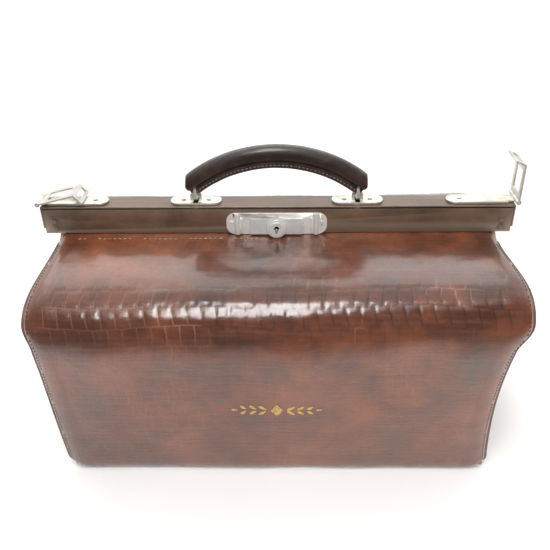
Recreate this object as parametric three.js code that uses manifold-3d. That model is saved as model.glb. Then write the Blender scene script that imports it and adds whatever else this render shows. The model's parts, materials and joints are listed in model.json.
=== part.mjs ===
// A leather doctor's bag with a hinged steel mouth frame, a sliding nozzle lock,
// two swinging end clips and a stitched carrying handle.
// Millimetres. +X along the frame, -Y towards the lock, +Z up, origin under the middle of the base.
import * as THREE from "three";
import { ConvexGeometry } from "three/addons/geometries/ConvexGeometry.js";
import { mergeVertices } from "three/addons/utils/BufferGeometryUtils.js";
import Module from "manifold-3d";

const wasm = await Module();
wasm.setup();

// ---- Driving dimensions ----
const GAP = 0.3; // between pieces that touch on the real bag
const LEATHER = 3;
const LINING = 1;

const BASE = { halfLength: 198, halfDepth: 105 };
const FOLD = { halfLength: 207, halfDepth: 114, height: 177 }; // where wall turns into shoulder
const BOARD = 3; // stiffening board in the base

const FRAME = { halfLength: 213.5, halfDepth: 11.5, top: 233, bottom: 207, sheet: 1.5 };
const LID_GAP = 1.3; // open line between the two bars when the mouth is shut
const LIP = 3; // return lip along the lower edge of each bar
const FLANGE_BOTTOM = 212; // the rear bar's end flanges stop short of its wall
const NECK_HALF_LENGTH = 198; // leather where it enters the frame
const PIVOT_HEIGHT = 120; // hinge of the two frame halves
const LEG = { thick: 2, eye: 7, hole: 2.6, frontX: 191, rearX: 188.5, tab: 18 };
const HINGE_PIN = { radius: 2.2, head: 5, headThick: 1.6 };
const FRAME_RIVET = { radius: 1.2, head: 2.2, x: 202, heights: [211.5, 219] };

const LOCK = { halfLength: 45.5, bottom: 206.3, top: 227.3, thick: 1.5, corner: 8 };
const SLIDE = { halfLength: 24, bottom: 207, top: 222.6, thick: 1.7, travel: 6 };
const NOZZLE = { radius: 8.75, face: 6.9, height: 214, rim: 3.2, length: 4.6 };
const KEYHOLE = { radius: 2.4, slot: 2.2, drop: 6 };
const STEM = { halfWidth: 3, bottom: 211.5, top: 216.5 };

const HANDLE = { plateX: 73, endX: 81, arcRise: 36, arcZ: 279, bottom: 243.5 };
const GRIP = { roll: 8, flange: 5.5, drop: 12 }; // section: round roll over a narrower flange
const HANDLE_PLATE = { halfLength: 23, halfWidth: 8.5, thick: 1.8, rivetX: 11.6 };
const RING = { radius: 6, wire: 1.6 };
const BRIDGE = { halfLength: 5, radius: 1.2, inner: 2.4, height: 240 }; // the handle swings about it
const SLOT = { halfWidth: 2.3, halfLength: 9.5 };

const CLIP = { pinX: 214.8, pinZ: 236, pin: 1.1, hole: 1.45, eye: 2.2, thick: 1.6 };
const CLIP_PLATE = { innerX: 153, halfWidth: 8.3, neckX: 207, neckHalfWidth: 5.6, thick: 1.9 };
const LOOP = { halfWidth: 13, leg: 4.5, bar: 5.5, length: 35, tab: 10, rim: 3, bend: 65 };
const LOOP_FOLDED = 14; // degrees above the plate when the tab's tip rests on it
const SMALL_RIVET = { radius: 1, head: 2, rise: 0.8 };
const ROUND_STEPS = 16;

// ---- Colours and finishes ----
const finish = (color, roughness, metalness) =>
  new THREE.MeshStandardMaterial({ color, roughness, metalness });
const croc = finish(0x7a3f28, 0.35, 0);
const board = finish(0x6b5a45, 0.9, 0);
const liningCloth = finish(0x8b7450, 0.85, 0);
const brownSteel = finish(0x5a4638, 0.4, 0.5);
const nickel = finish(0xc9c4b4, 0.3, 1);
const steel = finish(0x8c8a86, 0.45, 1);
const handleLeather = finish(0x3a2823, 0.45, 0);
const dark = finish(0x2a2624, 0.5, 0.8);

// ---- Solid helpers ----
function solid(geometry) {
  const g = geometry.index ? geometry.toNonIndexed() : geometry.clone();
  for (const name of Object.keys(g.attributes)) {
    if (name !== "position") g.deleteAttribute(name);
  }
  const merged = mergeVertices(g, 1e-4);
  const mesh = new wasm.Mesh({
    numProp: 3,
    vertProperties: merged.attributes.position.array,
    triVerts: new Uint32Array(merged.index.array),
  });
  return new wasm.Manifold(mesh);
}

function geometryOf(manifold) {
  const mesh = manifold.getMesh();
  const positions = new Float32Array(mesh.numVert * 3);
  for (let i = 0; i < mesh.numVert; i++) {
    positions.set(mesh.vertProperties.subarray(i * mesh.numProp, i * mesh.numProp + 3), i * 3);
  }
  return new THREE.BufferGeometry()
    .setAttribute("position", new THREE.BufferAttribute(positions, 3))
    .setIndex(new THREE.BufferAttribute(mesh.triVerts, 1));
}

const join = (...parts) => geometryOf(parts.map(solid).reduce((a, b) => a.add(b)));
const cut = (body, ...tools) =>
  geometryOf(tools.map(solid).reduce((a, b) => a.subtract(b), solid(body)));

// A box from its low and high corners.
function block([x0, y0, z0], [x1, y1, z1]) {
  const box = new THREE.BoxGeometry(x1 - x0, y1 - y0, z1 - z0);
  return box.translate((x0 + x1) / 2, (y0 + y1) / 2, (z0 + z1) / 2);
}

// A round bar between two values along an axis, centred on a point.
function rod(axis, low, high, radius, [x, y, z], sides = ROUND_STEPS) {
  const bar = new THREE.CylinderGeometry(radius, radius, high - low, sides);
  const middle = (low + high) / 2;
  if (axis === "x") return bar.rotateZ(-Math.PI / 2).translate(middle, y, z);
  if (axis === "y") return bar.translate(x, middle, z);
  return bar.rotateX(Math.PI / 2).translate(x, y, middle);
}

// An outline in a plane, thickened. "x": outline is (y, z); "y": (x, z); "z": (x, y).
function plate(outline, axis, low, high) {
  const shape = outline instanceof THREE.Shape ? outline : new THREE.Shape(outline);
  const made = new THREE.ExtrudeGeometry(shape, {
    depth: high - low,
    bevelEnabled: false,
    curveSegments: 8,
  });
  if (axis === "z") return made.translate(0, 0, low);
  if (axis === "x") {
    made.applyMatrix4(new THREE.Matrix4().makeBasis(
      new THREE.Vector3(0, 1, 0), new THREE.Vector3(0, 0, 1), new THREE.Vector3(1, 0, 0)));
    return made.translate(low, 0, 0);
  }
  made.applyMatrix4(new THREE.Matrix4().makeBasis(
    new THREE.Vector3(1, 0, 0), new THREE.Vector3(0, 0, 1), new THREE.Vector3(0, -1, 0)));
  return made.translate(0, high, 0);
}

const points = (...pairs) => pairs.map(([a, b]) => new THREE.Vector2(a, b));

function roundedRectangle(halfWidth, low, high, radius) {
  const shape = new THREE.Shape();
  shape.moveTo(-halfWidth + radius, low);
  shape.lineTo(halfWidth - radius, low);
  shape.absarc(halfWidth - radius, low + radius, radius, -Math.PI / 2, 0);
  shape.lineTo(halfWidth, high - radius);
  shape.absarc(halfWidth - radius, high - radius, radius, 0, Math.PI / 2);
  shape.lineTo(-halfWidth + radius, high);
  shape.absarc(-halfWidth + radius, high - radius, radius, Math.PI / 2, Math.PI);
  shape.lineTo(-halfWidth, low + radius);
  shape.absarc(-halfWidth + radius, low + radius, radius, Math.PI, 1.5 * Math.PI);
  return shape;
}

// A flat panel of leather. u and v lie in its inner face and u x v points out of the bag.
function panel(outline, thickness, origin, u, v) {
  const made = new THREE.ExtrudeGeometry(new THREE.Shape(outline), {
    depth: thickness,
    bevelEnabled: false,
  });
  const out = new THREE.Vector3().crossVectors(u, v).normalize();
  const basis = new THREE.Matrix4().makeBasis(u, v, out).setPosition(origin);
  return made.applyMatrix4(basis);
}

const root = new THREE.Group();

function group(parent, position = [0, 0, 0]) {
  const made = new THREE.Group();
  made.position.set(...position);
  parent.add(made);
  return made;
}

function add(parent, name, geometry, material) {
  const mesh = new THREE.Mesh(geometry, material);
  mesh.name = name;
  parent.add(mesh);
  return mesh;
}

// ---- Leather body ----
const WALL_BOTTOM = LEATHER + 1.5 * GAP;
const SHOULDER_END = { depth: 9.6, height: FRAME.bottom - LEATHER - 2 * GAP };

const halfLengthAt = (z) =>
  BASE.halfLength + ((FOLD.halfLength - BASE.halfLength) * z) / FOLD.height;
const halfDepthAt = (z) => BASE.halfDepth + ((FOLD.halfDepth - BASE.halfDepth) * z) / FOLD.height;

function basePanel() {
  return plate(
    roundedRectangle(BASE.halfLength, -BASE.halfDepth, BASE.halfDepth, 12), "z", 0, LEATHER);
}

function baseBoard() {
  const halfLength = BASE.halfLength - LEATHER - 2 * GAP;
  const halfDepth = BASE.halfDepth - LEATHER - 2 * GAP;
  return block([-halfLength, -halfDepth, WALL_BOTTOM], [halfLength, halfDepth, WALL_BOTTOM + BOARD]);
}

// Front wall for side -1, rear wall for side 1, from the base up to the fold.
function wall(side) {
  const rise = new THREE.Vector3(
    0, side * (FOLD.halfDepth - BASE.halfDepth), FOLD.height).normalize();
  const low = WALL_BOTTOM;
  const high = FOLD.height - 2 * GAP;
  const outline = points(
    [-halfLengthAt(low), 0], [halfLengthAt(low), 0],
    [halfLengthAt(high), high - low], [-halfLengthAt(high), high - low]);
  const origin = new THREE.Vector3(0, side * (halfDepthAt(low) - LEATHER), low);
  return panel(outline, LEATHER, origin, new THREE.Vector3(-side, 0, 0), rise);
}

// End wall, with the V that the two upper wings fill. It fits between the front and rear walls.
function gusset(side) {
  const rise = new THREE.Vector3(
    side * (FOLD.halfLength - BASE.halfLength), 0, FOLD.height).normalize();
  const low = WALL_BOTTOM;
  const high = FOLD.height - 2 * GAP;
  const inside = LEATHER + GAP;
  const outline = points(
    [-(halfDepthAt(low) - inside), 0], [halfDepthAt(low) - inside, 0],
    [halfDepthAt(high) - inside, high - low], [0, PIVOT_HEIGHT - low],
    [-(halfDepthAt(high) - inside), high - low]);
  const origin = new THREE.Vector3(side * (halfLengthAt(low) - LEATHER), 0, low);
  return panel(outline, LEATHER, origin, new THREE.Vector3(0, side, 0), rise);
}

// The sloping leather between the fold and the frame.
function shoulder(side) {
  const foldInside = new THREE.Vector3(0, side * (FOLD.halfDepth - 0.5), FOLD.height);
  const neckInside = new THREE.Vector3(0, side * SHOULDER_END.depth, SHOULDER_END.height);
  const rise = neckInside.clone().sub(foldInside);
  const length = rise.length();
  const outline = points(
    [-FOLD.halfLength, 0], [FOLD.halfLength, 0],
    [NECK_HALF_LENGTH, length], [-NECK_HALF_LENGTH, length]);
  return panel(
    outline, LEATHER, foldInside, new THREE.Vector3(-side, 0, 0), rise.normalize());
}

// Upper part of an end, between the leg of one frame half and that half's shoulder.
function wing(end, side) {
  const under = 2 * GAP;
  const middle = side * GAP;
  const foldDepth = FOLD.halfDepth - LEATHER - 4 * GAP;
  const corners = [
    [halfLengthAt(PIVOT_HEIGHT), middle, PIVOT_HEIGHT + 2 * GAP],
    [NECK_HALF_LENGTH, middle, SHOULDER_END.height],
    [NECK_HALF_LENGTH, side * SHOULDER_END.depth, SHOULDER_END.height - under],
    [halfLengthAt(FOLD.height), side * foldDepth, FOLD.height],
  ];
  const hull = [];
  for (const [x, y, z] of corners) {
    hull.push(new THREE.Vector3(end * x, y, z));
    hull.push(new THREE.Vector3(end * (x - LEATHER), y, z));
  }
  return new ConvexGeometry(hull);
}

// Open-topped box of lining cloth inside the walls, with the same V in each end.
function lining() {
  const bottom = WALL_BOTTOM + BOARD + GAP;
  const top = FOLD.height - 4 * GAP;
  const box = (inset, low, high) => {
    const hull = [];
    for (const z of [low, high]) {
      for (const sx of [-1, 1]) {
        for (const sy of [-1, 1]) {
          hull.push(new THREE.Vector3(
            sx * (halfLengthAt(z) - inset), sy * (halfDepthAt(z) - inset), z));
        }
      }
    }
    return new ConvexGeometry(hull);
  };
  const inset = LEATHER + 2 * GAP;
  const far = BASE.halfLength + 20;
  const notch = plate(
    points([0, PIVOT_HEIGHT - 1], [FOLD.halfDepth - 4, FOLD.height - 2], [FOLD.halfDepth - 4, top + 9],
      [-(FOLD.halfDepth - 4), top + 9], [-(FOLD.halfDepth - 4), FOLD.height - 2]),
    "x", -far, far);
  return cut(box(inset, bottom, top), box(inset + LINING, bottom + LINING, top + 5), notch);
}

function hingePin(end) {
  const inner = LEG.rearX - 2 * GAP;
  const outer = LEG.frontX + LEG.thick + 2 * GAP;
  const along = (low, high) => (end > 0 ? [low, high] : [-high, -low]);
  const at = [0, 0, PIVOT_HEIGHT];
  const shank = rod("x", ...along(inner, outer), HINGE_PIN.radius, at);
  const innerHead = rod("x", ...along(inner - HINGE_PIN.headThick, inner), HINGE_PIN.head, at);
  const outerHead = rod("x", ...along(outer, outer + HINGE_PIN.headThick), HINGE_PIN.head, at);
  return join(shank, innerHead, outerHead);
}

const body = group(root);
add(body, "base_panel", basePanel(), croc);
add(body, "base_board", baseBoard(), board);
add(body, "lining", lining(), liningCloth);
add(body, "front_panel", wall(-1), croc);
add(body, "rear_panel", wall(1), croc);
add(body, "front_shoulder", shoulder(-1), croc);
add(body, "rear_shoulder", shoulder(1), croc);
for (const [end, word] of [[-1, "left"], [1, "right"]]) {
  add(body, word + "_gusset", gusset(end), croc);
  add(body, word + "_front_wing", wing(end, -1), croc);
  add(body, word + "_rear_wing", wing(end, 1), croc);
  add(body, word + "_hinge_pin", hingePin(end), steel);
}

// ---- Frame ----
const FRONT_TOP = FRAME.top - FRAME.sheet - LID_GAP; // the front bar nests under the rear bar's top
const outer = FRAME.halfDepth;
const inner = FRAME.halfDepth - FRAME.sheet;
const frontHalfLength = FRAME.halfLength - FRAME.sheet - GAP;
const stemSlot = STEM.halfWidth + SLIDE.travel + GAP;

// Leg of one frame half: an eye on the hinge, a strip up to the bar, and a tab riveted to the bar.
function leg(end, side, x) {
  const top = FRONT_TOP - FRAME.sheet - GAP;
  const near = side * 1.2;
  const far = side * (inner - GAP);
  const besideLip = side * (outer - LIP - GAP);
  const overLip = FRAME.bottom + FRAME.sheet + GAP;
  const eye = rod("x", x, x + LEG.thick, LEG.eye, [0, 0, PIVOT_HEIGHT], 20);
  const strip = plate(
    points([-side * LEG.eye, PIVOT_HEIGHT], [side * LEG.eye, PIVOT_HEIGHT],
      [besideLip, overLip], [far, overLip], [far, top], [near, top]),
    "x", x, x + LEG.thick);
  const tabLow = side > 0 ? far - FRAME.sheet : far;
  const tab = block(
    [x, tabLow, FRAME.bottom + 2], [x + LEG.tab, tabLow + FRAME.sheet, top]);
  const hole = rod("x", x - 1, x + LEG.thick + 1, LEG.hole, [0, 0, PIVOT_HEIGHT], 20);
  const rivets = FRAME_RIVET.heights.map((z) =>
    rod("y", Math.min(0, far * 2), Math.max(0, far * 2), FRAME_RIVET.radius + GAP,
      [FRAME_RIVET.x, 0, z], 12));
  const made = cut(join(eye, strip, tab), hole, ...rivets);
  return end > 0 ? made : made.rotateZ(Math.PI);
}

// Channel bar across the front, open at the back and notched where the lock catch swings out.
function frontBar() {
  const profile = points(
    [-outer, FRAME.bottom], [-outer + LIP, FRAME.bottom], [-outer + LIP, FRAME.bottom + FRAME.sheet],
    [-inner, FRAME.bottom + FRAME.sheet], [-inner, FRONT_TOP - FRAME.sheet],
    [-1, FRONT_TOP - FRAME.sheet], [-1, FRONT_TOP], [-outer, FRONT_TOP]);
  const bar = plate(profile, "x", -frontHalfLength, frontHalfLength);
  const slot = block([-stemSlot, -outer - 1, STEM.bottom - GAP], [stemSlot, -inner + 1, STEM.top + GAP]);
  const notch = block([-8, -8, FRONT_TOP - FRAME.sheet - 1], [8, 0, FRONT_TOP + 1]);
  return cut(bar, slot, notch, ...rivetHoles(-1));
}

// Top plate, rear wall and end flanges in one pressing. It carries the handle and the clips.
function rearBar() {
  const profile = points(
    [-outer, FRAME.top - FRAME.sheet], [inner, FRAME.top - FRAME.sheet],
    [inner, FRAME.bottom + FRAME.sheet], [outer - LIP, FRAME.bottom + FRAME.sheet],
    [outer - LIP, FRAME.bottom], [outer, FRAME.bottom], [outer, FRAME.top], [-outer, FRAME.top]);
  const bar = plate(profile, "x", -FRAME.halfLength, FRAME.halfLength);
  const flange = (end) => {
    const x = [FRAME.halfLength - FRAME.sheet, FRAME.halfLength].map((v) => end * v).sort((a, b) => a - b);
    return block([x[0], -outer, FLANGE_BOTTOM], [x[1], outer, FRAME.top]);
  };
  const through = [FRAME.top - 4, FRAME.top + 1];
  const tools = [...rivetHoles(1)];
  for (const end of [-1, 1]) {
    const x = end * HANDLE.plateX;
    tools.push(block([x - SLOT.halfWidth, -SLOT.halfLength, through[0]],
      [x + SLOT.halfWidth, SLOT.halfLength, through[1]]));
    for (const dx of [-HANDLE_PLATE.rivetX, HANDLE_PLATE.rivetX]) {
      tools.push(rod("z", ...through, SMALL_RIVET.radius + GAP, [x + dx, 0, 0], 10));
    }
    tools.push(rod("z", ...through, SMALL_RIVET.radius + GAP, [end * clipRivetX, 0, 0], 10));
  }
  return cut(join(bar, flange(-1), flange(1)), ...tools);
}

// Holes through a bar's upright wall for the rivets that hold its legs.
function rivetHoles(side) {
  const span = side > 0 ? [inner - 1, outer + 1] : [-outer - 1, -inner + 1];
  const holes = [];
  for (const end of [-1, 1]) {
    for (const z of FRAME_RIVET.heights) {
      holes.push(rod("y", ...span, FRAME_RIVET.radius + GAP, [end * FRAME_RIVET.x, 0, z], 12));
    }
  }
  return holes;
}

// Rivet through the bar wall and the leg's tab, with a low head outside.
function frameRivet(end, side, z) {
  const at = [end * FRAME_RIVET.x, 0, z];
  const along = (low, high) => (side > 0 ? [low, high] : [-high, -low]);
  const shank = rod("y", ...along(inner - FRAME.sheet - 2 * GAP, outer + GAP), FRAME_RIVET.radius, at, 12);
  const head = rod("y", ...along(outer + GAP, outer + GAP + 0.6), FRAME_RIVET.head, at, 12);
  return join(shank, head);
}

const clipRivetX = CLIP_PLATE.innerX + 12;
const frontFrame = group(root);
const rearFrame = group(root);
add(frontFrame, "front_frame_bar", frontBar(), brownSteel);
add(rearFrame, "rear_frame_bar", rearBar(), brownSteel);
for (const [end, word] of [[-1, "left"], [1, "right"]]) {
  // A left leg is a right leg of the other side turned half round.
  add(frontFrame, "front_" + word + "_leg", leg(end, -end, LEG.frontX), steel);
  add(rearFrame, "rear_" + word + "_leg", leg(end, end, LEG.rearX), steel);
  FRAME_RIVET.heights.forEach((z, i) => {
    const level = i ? "upper" : "lower";
    add(frontFrame, ["front", word, level, "rivet"].join("_"), frameRivet(end, -1, z), steel);
    add(rearFrame, ["rear", word, level, "rivet"].join("_"), frameRivet(end, 1, z), steel);
  });
}

// ---- Lock ----
const PLATE_FRONT = outer + GAP + LOCK.thick; // distances in front of the bag's middle plane
const SLIDE_BACK = PLATE_FRONT + GAP;
const SLIDE_FRONT = SLIDE_BACK + SLIDE.thick;
const NOZZLE_BACK = SLIDE_FRONT + GAP;

// Round-ended plate with two half-round beads that stop the slide, and holes for the stem and rivets.
function lockPlate() {
  const base = plate(
    roundedRectangle(LOCK.halfLength, LOCK.bottom, LOCK.top, LOCK.corner), "y",
    -PLATE_FRONT, -outer - GAP);
  const beads = [-1, 1].map((end) => rod("z", LOCK.bottom + 0.4, LOCK.top - 0.4, 2.6,
    [end * 35.5, -PLATE_FRONT, 0], 12));
  const ribs = [-1, 1].map((end) => rod("z", SLIDE.bottom, SLIDE.top, 1.1,
    [end * (SLIDE.halfLength + SLIDE.travel + 1.6), -PLATE_FRONT, 0], 8));
  const raised = join(base, ...beads, ...ribs);
  const back = block(
    [-60, -outer - GAP, LOCK.bottom - 5], [60, -outer + 10, LOCK.top + 5]);
  const slot = block([-stemSlot, -PLATE_FRONT - 1, STEM.bottom - GAP], [stemSlot, -outer, STEM.top + GAP]);
  const holes = [-1, 1].map((end) => rod("y", -PLATE_FRONT - 4, -outer, SMALL_RIVET.radius + GAP,
    [end * 41, 0, lockRivetZ], 10));
  return cut(raised, back, slot, ...holes);
}

// Cutters for the keyhole, through the nozzle and the slide plate.
function keyhole() {
  const span = [-NOZZLE_BACK - NOZZLE.length - 1, -SLIDE_BACK + 1];
  const z = NOZZLE.height + 1;
  const round = rod("y", ...span, KEYHOLE.radius, [0, 0, z], 16);
  const slot = block([-KEYHOLE.slot / 2, span[0], z - KEYHOLE.drop], [KEYHOLE.slot / 2, span[1], z]);
  return [round, slot];
}

function slidePlate() {
  const shape = roundedRectangle(SLIDE.halfLength, SLIDE.bottom, SLIDE.top, 1);
  return cut(plate(shape, "y", -SLIDE_FRONT, -SLIDE_BACK), ...keyhole());
}

// Stepped round nozzle with a small peak on top, and the keyhole through it.
function nozzle() {
  const z = NOZZLE.height;
  const rimFront = -NOZZLE_BACK - NOZZLE.rim;
  const faceFront = -NOZZLE_BACK - NOZZLE.length;
  const rim = rod("y", rimFront, -NOZZLE_BACK, NOZZLE.radius, [0, 0, z], 32);
  const face = rod("y", faceFront, -NOZZLE_BACK, NOZZLE.face, [0, 0, z], 32);
  const peak = new THREE.Shape();
  peak.moveTo(-6.5, z + 5);
  peak.quadraticCurveTo(-3, z + 8.5, 0, z + 11.6);
  peak.quadraticCurveTo(3, z + 8.5, 6.5, z + 5);
  const top = plate(peak, "y", -NOZZLE_BACK - 2, -NOZZLE_BACK);
  return cut(join(rim, face, top), ...keyhole());
}

const keyPin = () => rod("y", -NOZZLE_BACK - NOZZLE.length + 0.8, -SLIDE_BACK, 0.8,
  [0, 0, NOZZLE.height + 1], 10);

// Bolt plate inside the bar, its stem out to the slide, and the nose that shoots beside the catch.
function lockBolt() {
  const front = -inner + GAP;
  const back = front + 2;
  const bolt = block([-20, front, 210.5], [14, back, 218.5]);
  const stem = block(
    [-STEM.halfWidth, -SLIDE_BACK + GAP, STEM.bottom], [STEM.halfWidth, front + 0.5, STEM.top]);
  const nose = block([-20, front, 218], [-12.5, back, 225]);
  return join(bolt, stem, nose);
}

// Case riveted behind the bar, open towards the bar and above, where the catch swings out.
function lockCase() {
  const front = -inner + GAP;
  const shell = block([-34, front, 209.2], [34, -1.2, 227]);
  const room = block([-32.8, front - 1, 210.2], [32.8, -2.2, 226]);
  const mouth = block([-8, front - 1, 217], [8, 0, 228]);
  return cut(shell, room, mouth);
}

// Coil spring between the bolt's end and the case, as a helix of round wire.
function lockSpring() {
  const turns = 7;
  const length = 16;
  const radius = 2.1;
  const start = 15;
  class Helix extends THREE.Curve {
    getPoint(t) {
      const a = 2 * Math.PI * turns * t;
      return new THREE.Vector3(
        start + length * t, -6 + radius * Math.cos(a), 214.5 + radius * Math.sin(a));
    }
  }
  const wire = new THREE.Shape().absarc(0, 0, 0.4, 0, 2 * Math.PI);
  return new THREE.ExtrudeGeometry(wire, {
    steps: turns * 10,
    extrudePath: new Helix(),
    curveSegments: 3,
  });
}

// Lever tumbler on a stud of its own, behind the bolt.
function lockLever() {
  const plateBack = -3.4;
  const plateFront = -4.6;
  const arm = plate(
    points([-28, 211.5], [-4, 212.5], [-4, 215.5], [-14, 217], [-28, 216.5]), "y", plateFront, plateBack);
  const hole = rod("y", plateFront - 1, plateBack + 1, 1.5, [LEVER_X, 0, LEVER_Z], 12);
  return cut(arm, hole);
}

const leverStud = () => rod("y", -5.4, -2.5, 1.1, [LEVER_X, 0, LEVER_Z], 12);

function lockRivet(end) {
  const at = [end * 41, 0, lockRivetZ];
  const shank = rod("y", -PLATE_FRONT - GAP, -outer - GAP, SMALL_RIVET.radius, at, 10);
  const head = rod("y", -PLATE_FRONT - GAP - SMALL_RIVET.rise, -PLATE_FRONT - GAP, SMALL_RIVET.head, at, 12);
  return join(shank, head);
}

// Strike under the rear bar's top plate. It hangs into the lock case when the mouth is shut.
function lockCatch() {
  const top = FRAME.top - FRAME.sheet - GAP;
  const foot = block([-6, -7.2, top - 1.2], [6, 6, top]);
  const blade = block([-5, -6.4, 218.5], [5, -5, top - 0.5]);
  const window = block([-2.5, -8, 220.5], [2.5, -3, 224]);
  return cut(join(foot, blade), window);
}

const lockRivetZ = 218.2;
const LEVER_X = -24;
const LEVER_Z = 214;
const lock = group(frontFrame);
add(lock, "lock_plate", lockPlate(), nickel);
add(lock, "lock_case", lockCase(), steel);
add(lock, "lock_spring", lockSpring(), steel);
add(lock, "lock_lever", lockLever(), steel);
add(lock, "lock_lever_stud", leverStud(), steel);
add(lock, "lock_left_rivet", lockRivet(-1), nickel);
add(lock, "lock_right_rivet", lockRivet(1), nickel);
const slide = group(lock);
add(slide, "lock_slide_plate", slidePlate(), nickel);
add(slide, "lock_nozzle", nozzle(), nickel);
add(slide, "lock_key_pin", keyPin(), dark);
add(slide, "lock_bolt", lockBolt(), steel);
add(rearFrame, "lock_catch", lockCatch(), steel);

// ---- Handle ----
const PLATE_BOTTOM = FRAME.top + GAP;

// Round-ended plate with a raised bridge over the slot that the ring turns in.
function handlePlate(x) {
  const base = plate(
    roundedRectangle(HANDLE_PLATE.halfLength, -HANDLE_PLATE.halfWidth, HANDLE_PLATE.halfWidth,
      HANDLE_PLATE.halfWidth - 0.5), "z", PLATE_BOTTOM, PLATE_BOTTOM + HANDLE_PLATE.thick);
  const bar = rod("x", -BRIDGE.halfLength, BRIDGE.halfLength, BRIDGE.radius, [0, 0, BRIDGE.height]);
  const feet = [-1, 1].map((s) => {
    const span = [s * BRIDGE.inner, s * BRIDGE.halfLength].sort((a, b) => a - b);
    const halfWidth = BRIDGE.radius + 0.4;
    return block([span[0], -halfWidth, PLATE_BOTTOM + 0.5], [span[1], halfWidth, BRIDGE.height]);
  });
  const slotLength = HANDLE_PLATE.halfWidth - 1;
  const slot = block(
    [-SLOT.halfWidth, -slotLength, 0], [SLOT.halfWidth, slotLength, BRIDGE.height - BRIDGE.radius]);
  const holes = [-1, 1].map((s) => rod("z", FRAME.top, FRAME.top + 4, SMALL_RIVET.radius + GAP,
    [s * HANDLE_PLATE.rivetX, 0, 0], 10));
  return cut(join(base, bar, ...feet), slot, ...holes).translate(x, 0, 0);
}

// Rivet from above through a plate and the frame's top.
function topRivet(x, plateTop) {
  const shank = rod("z", FRAME.top - FRAME.sheet, plateTop + GAP, SMALL_RIVET.radius, [x, 0, 0], 10);
  const head = rod("z", plateTop + GAP, plateTop + GAP + SMALL_RIVET.rise, SMALL_RIVET.head, [x, 0, 0], 12);
  return join(shank, head);
}

// The handle's line: an arc in the XZ plane, high in the middle.
class HandleArc extends THREE.Curve {
  getPoint(t) {
    const chord = HANDLE.endX + 6;
    const radius = (chord * chord + HANDLE.arcRise * HANDLE.arcRise) / (2 * HANDLE.arcRise);
    const sweep = Math.asin(chord / radius);
    const a = sweep * (2 * t - 1);
    return new THREE.Vector3(
      radius * Math.sin(a), 0, HANDLE.arcZ - radius * (1 - Math.cos(a)));
  }
}

// Sweeps an outline along the arc. The outline's first axis is across the bag, its second is down.
function alongHandle(outline) {
  return new THREE.ExtrudeGeometry(outline, {
    steps: 28,
    extrudePath: new HandleArc(),
    curveSegments: 8,
  });
}

const ringCentre = BRIDGE.height - BRIDGE.radius - 3 * GAP - RING.wire + RING.radius;

function ring(x) {
  return new THREE.TorusGeometry(RING.radius, RING.wire, 8, 24)
    .rotateY(Math.PI / 2).translate(x, 0, ringCentre);
}

// Leather cover: a round roll with a flange of stitched layers under it, hollow for the core.
function handleCover() {
  const { roll, flange, drop } = GRIP;
  const meet = Math.asin(flange / roll);
  const outline = new THREE.Shape();
  outline.moveTo(flange, drop);
  outline.lineTo(-flange, drop);
  outline.absarc(0, 0, roll, Math.PI / 2 + meet, 2.5 * Math.PI - meet, false);
  const sweep = alongHandle(outline);
  const core = alongHandle(new THREE.Shape().absarc(0, 0, 3.4 + GAP, 0, 2 * Math.PI));
  const far = 200;
  const cuts = [
    block([-far, -50, 0], [far, 50, HANDLE.bottom]),
    block([-far, -50, 0], [-HANDLE.endX, 50, far * 2]),
    block([HANDLE.endX, -50, 0], [far, 50, far * 2]),
  ];
  const channels = [-1, 1].map((end) => new THREE.TorusGeometry(RING.radius, RING.wire + GAP, 8, 24)
    .rotateY(Math.PI / 2).translate(end * HANDLE.plateX, 0, ringCentre));
  return cut(sweep, core, ...cuts, ...channels);
}

// Cord core that stiffens the roll, cut short of the rings.
function handleCore() {
  const rope = alongHandle(new THREE.Shape().absarc(0, 0, 3.4, 0, 2 * Math.PI));
  const reach = HANDLE.plateX - RING.wire - 2 * GAP;
  const far = 200;
  return cut(rope, block([-far, -50, 0], [-reach, 50, 2 * far]), block([reach, -50, 0], [far, 50, 2 * far]));
}

const handle = group(rearFrame);
add(handle, "handle_cover", handleCover(), handleLeather);
add(handle, "handle_core", handleCore(), board);
for (const [end, word] of [[-1, "left"], [1, "right"]]) {
  const x = end * HANDLE.plateX;
  const plateTop = PLATE_BOTTOM + HANDLE_PLATE.thick;
  add(handle, "handle_" + word + "_ring", ring(x), nickel);
  add(rearFrame, "handle_" + word + "_plate", handlePlate(x), nickel);
  add(rearFrame, "handle_" + word + "_outer_rivet", topRivet(x + end * HANDLE_PLATE.rivetX, plateTop), steel);
  add(rearFrame, "handle_" + word + "_inner_rivet", topRivet(x - end * HANDLE_PLATE.rivetX, plateTop), steel);
}

// ---- End clips ----
// Both are drawn for the right end; the left one is the same piece turned half round.
function clipPlate() {
  const low = PLATE_BOTTOM;
  const high = low + CLIP_PLATE.thick;
  const { innerX, halfWidth, neckX, neckHalfWidth } = CLIP_PLATE;
  const outline = new THREE.Shape();
  outline.moveTo(innerX + halfWidth, -halfWidth);
  outline.lineTo(neckX, -halfWidth);
  outline.lineTo(neckX, -neckHalfWidth);
  outline.lineTo(CLIP.pinX - 4 * GAP, -neckHalfWidth);
  outline.lineTo(CLIP.pinX - 4 * GAP, neckHalfWidth);
  outline.lineTo(neckX, neckHalfWidth);
  outline.lineTo(neckX, halfWidth);
  outline.lineTo(innerX + halfWidth, halfWidth);
  outline.absarc(innerX + halfWidth, 0, halfWidth, Math.PI / 2, 1.5 * Math.PI);
  const base = plate(outline, "z", low, high);
  const barrel = rod("y", -neckHalfWidth, neckHalfWidth, CLIP.eye, [CLIP.pinX, 0, CLIP.pinZ], 16);
  const hole = rod("y", -10, 10, CLIP.hole, [CLIP.pinX, 0, CLIP.pinZ], 16);
  const rivet = rod("z", low - 1, high + 1, SMALL_RIVET.radius + GAP, [clipRivetX, 0, 0], 10);
  return cut(join(base, barrel), hole, rivet);
}

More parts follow.
